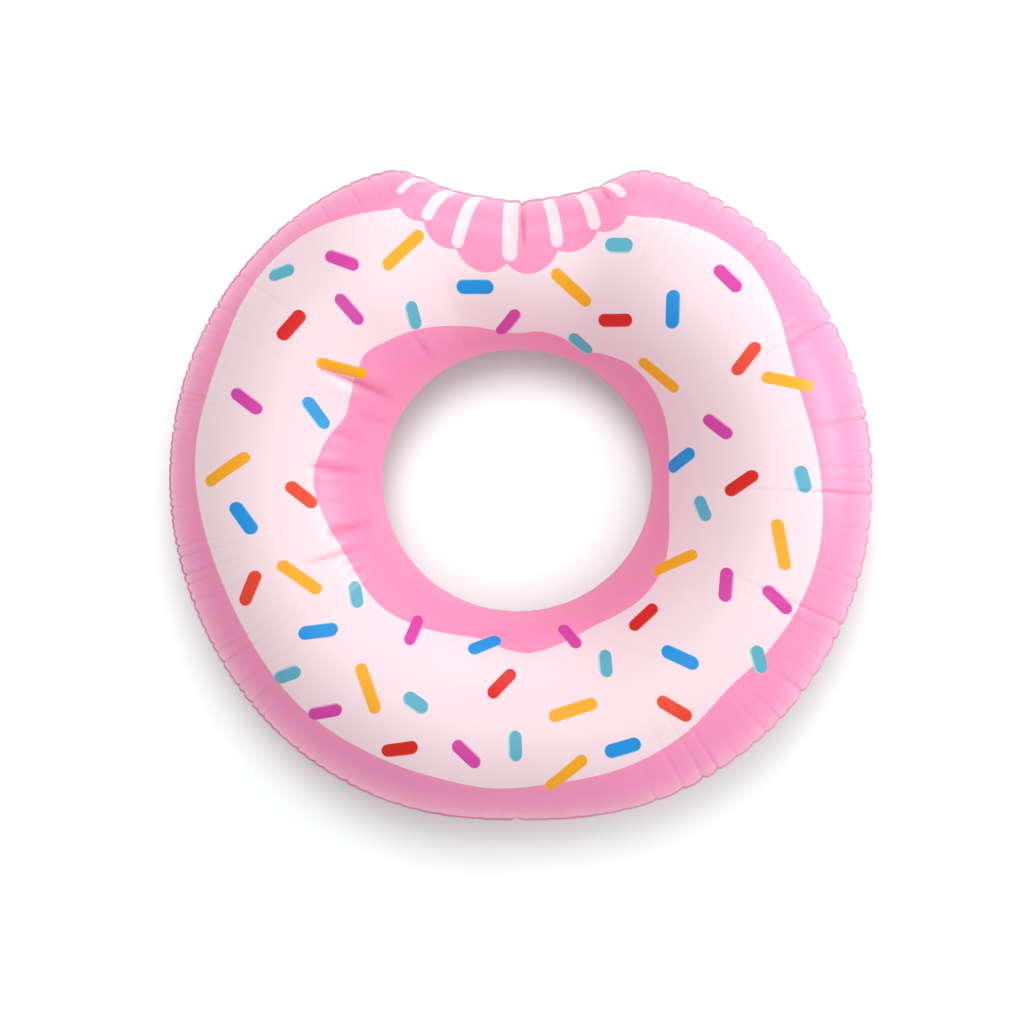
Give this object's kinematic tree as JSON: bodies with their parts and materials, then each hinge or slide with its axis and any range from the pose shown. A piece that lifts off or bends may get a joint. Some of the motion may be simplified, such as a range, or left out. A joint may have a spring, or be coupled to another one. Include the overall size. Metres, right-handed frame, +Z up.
{
  "type": "inflatable swim ring",
  "caption": "Inflatable ring float shaped like a doughnut with a bite out of its rim: two welded film sheets, an outer and an inner seam, and a push-in valve with a captive stopper and a check flap.",
  "frame": {"origin": "on the floor, under the middle of the ring's outline", "axes": "+Z up, +Y towards the bite, +X to the right when seen from above with the bite away from the viewer"},
  "size_m": [1.0726, 0.9886, 0.255],
  "materials": {
    "printed_film": "glossy PVC film, printed pale pink with coloured sprinkles",
    "pink_film": "glossy pink PVC film",
    "weld": "heat-welded PVC margin",
    "valve_vinyl": "soft white moulded vinyl",
    "flap_vinyl": "clear soft vinyl"
  },
  "bodies": {
    "float": {"upper_sheet": "printed_film", "lower_sheet": "pink_film", "outer_seam": "weld", "inner_seam": "weld", "valve_flange": "valve_vinyl", "valve_web": "valve_vinyl"},
    "stem": {"valve_stem": "valve_vinyl", "check_ring": "valve_vinyl"},
    "stopper": {"stopper_plug": "valve_vinyl", "stopper_strap": "valve_vinyl"},
    "flap": {"check_flap": "flap_vinyl"}
  },
  "joints": [
    {"name": "valve_push", "type": "slide", "parent": "float", "child": "stem", "axis": [0, -0.7228, -0.691], "range_m": [-0.018, 0], "deforming": ["valve_web"]},
    {"name": "stopper_swing", "type": "hinge", "parent": "stem", "child": "stopper", "pos_m": [0.011, -0.46897, 0.02718], "axis": [0, -0.691, 0.7228], "range_deg": [0, 150]},
    {"name": "flap_swing", "type": "hinge", "parent": "stem", "child": "flap", "pos_m": [-0.005, -0.45343, 0.04204], "axis": [0, -0.691, 0.7228], "range_deg": [0, 70], "stiffness_Nm_per_rad": 0.0005}
  ]
}
